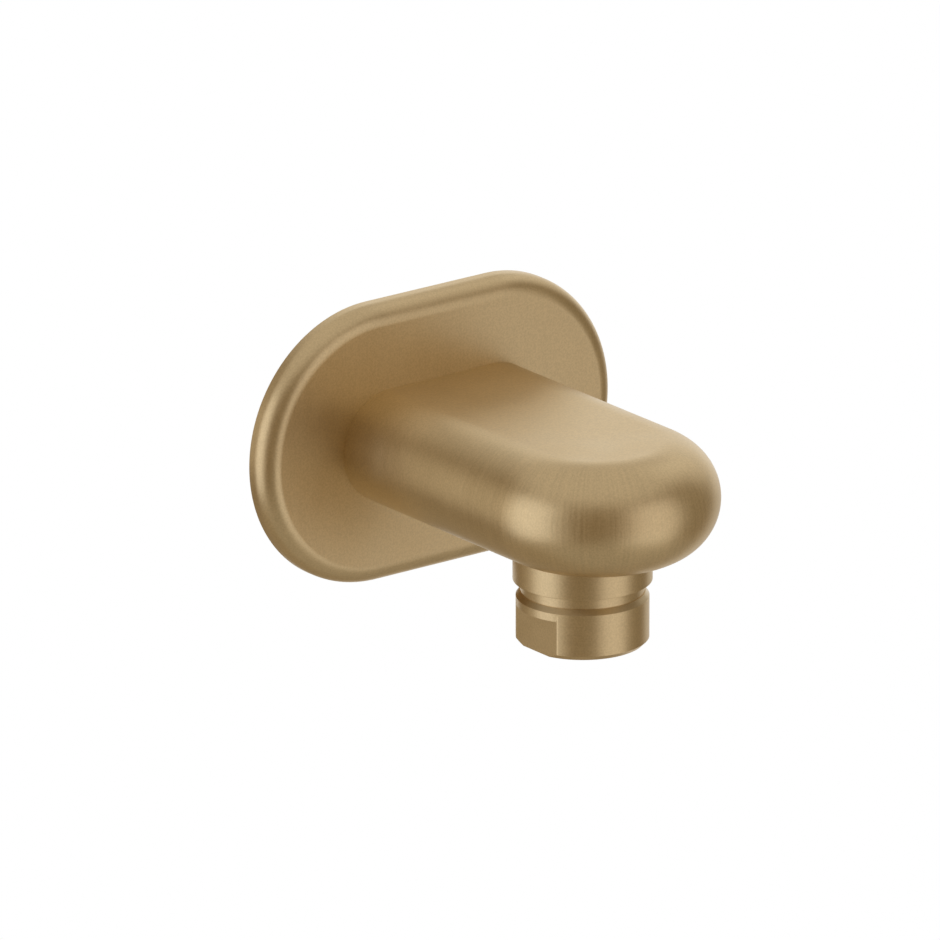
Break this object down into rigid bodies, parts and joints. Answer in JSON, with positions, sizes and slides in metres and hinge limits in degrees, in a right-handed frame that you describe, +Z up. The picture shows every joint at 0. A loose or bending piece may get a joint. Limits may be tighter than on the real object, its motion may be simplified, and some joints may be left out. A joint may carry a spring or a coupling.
{
  "type": "wall outlet elbow",
  "caption": "Wall outlet elbow for a hand shower: stadium wall plate, broad rounded arm and a screwed-in outlet ring with wrench flats and a non-return valve.",
  "frame": {"origin": "on the inlet axis, in the plane of the wall that the plate rests on", "axes": "+Z up, +Y into the wall along the inlet thread, the arm comes out along -Y, X across"},
  "size_m": [0.091, 0.0963, 0.0622],
  "materials": {
    "brushed_bronze": "satin brushed, lacquered",
    "raw_brass": "as turned",
    "steel": "plain",
    "black_rubber": "matt",
    "foam_rubber": "closed-cell foam",
    "valve_plastic": "moulded acetal"
  },
  "bodies": {
    "elbow": {"check_valve_guide": "valve_plastic", "check_valve_housing": "valve_plastic", "check_valve_o_ring": "black_rubber", "check_valve_spring": "steel", "elbow_arm": "brushed_bronze", "grub_screw": "steel", "inlet_nipple": "raw_brass", "inlet_o_ring_inner": "black_rubber", "inlet_o_ring_outer": "black_rubber", "outlet_connector": "brushed_bronze", "outlet_o_ring": "black_rubber", "wall_plate": "brushed_bronze", "wall_seal": "foam_rubber"},
    "poppet": {"check_valve_poppet": "valve_plastic", "check_valve_seal": "black_rubber"}
  },
  "joints": [
    {"name": "poppet_lift", "type": "slide", "parent": "elbow", "child": "poppet", "axis": [0, 0, -1], "range_m": [0, 0.003], "stiffness_N_per_m": 60, "springref_m": -0.004, "deforming": ["check_valve_spring"]}
  ]
}
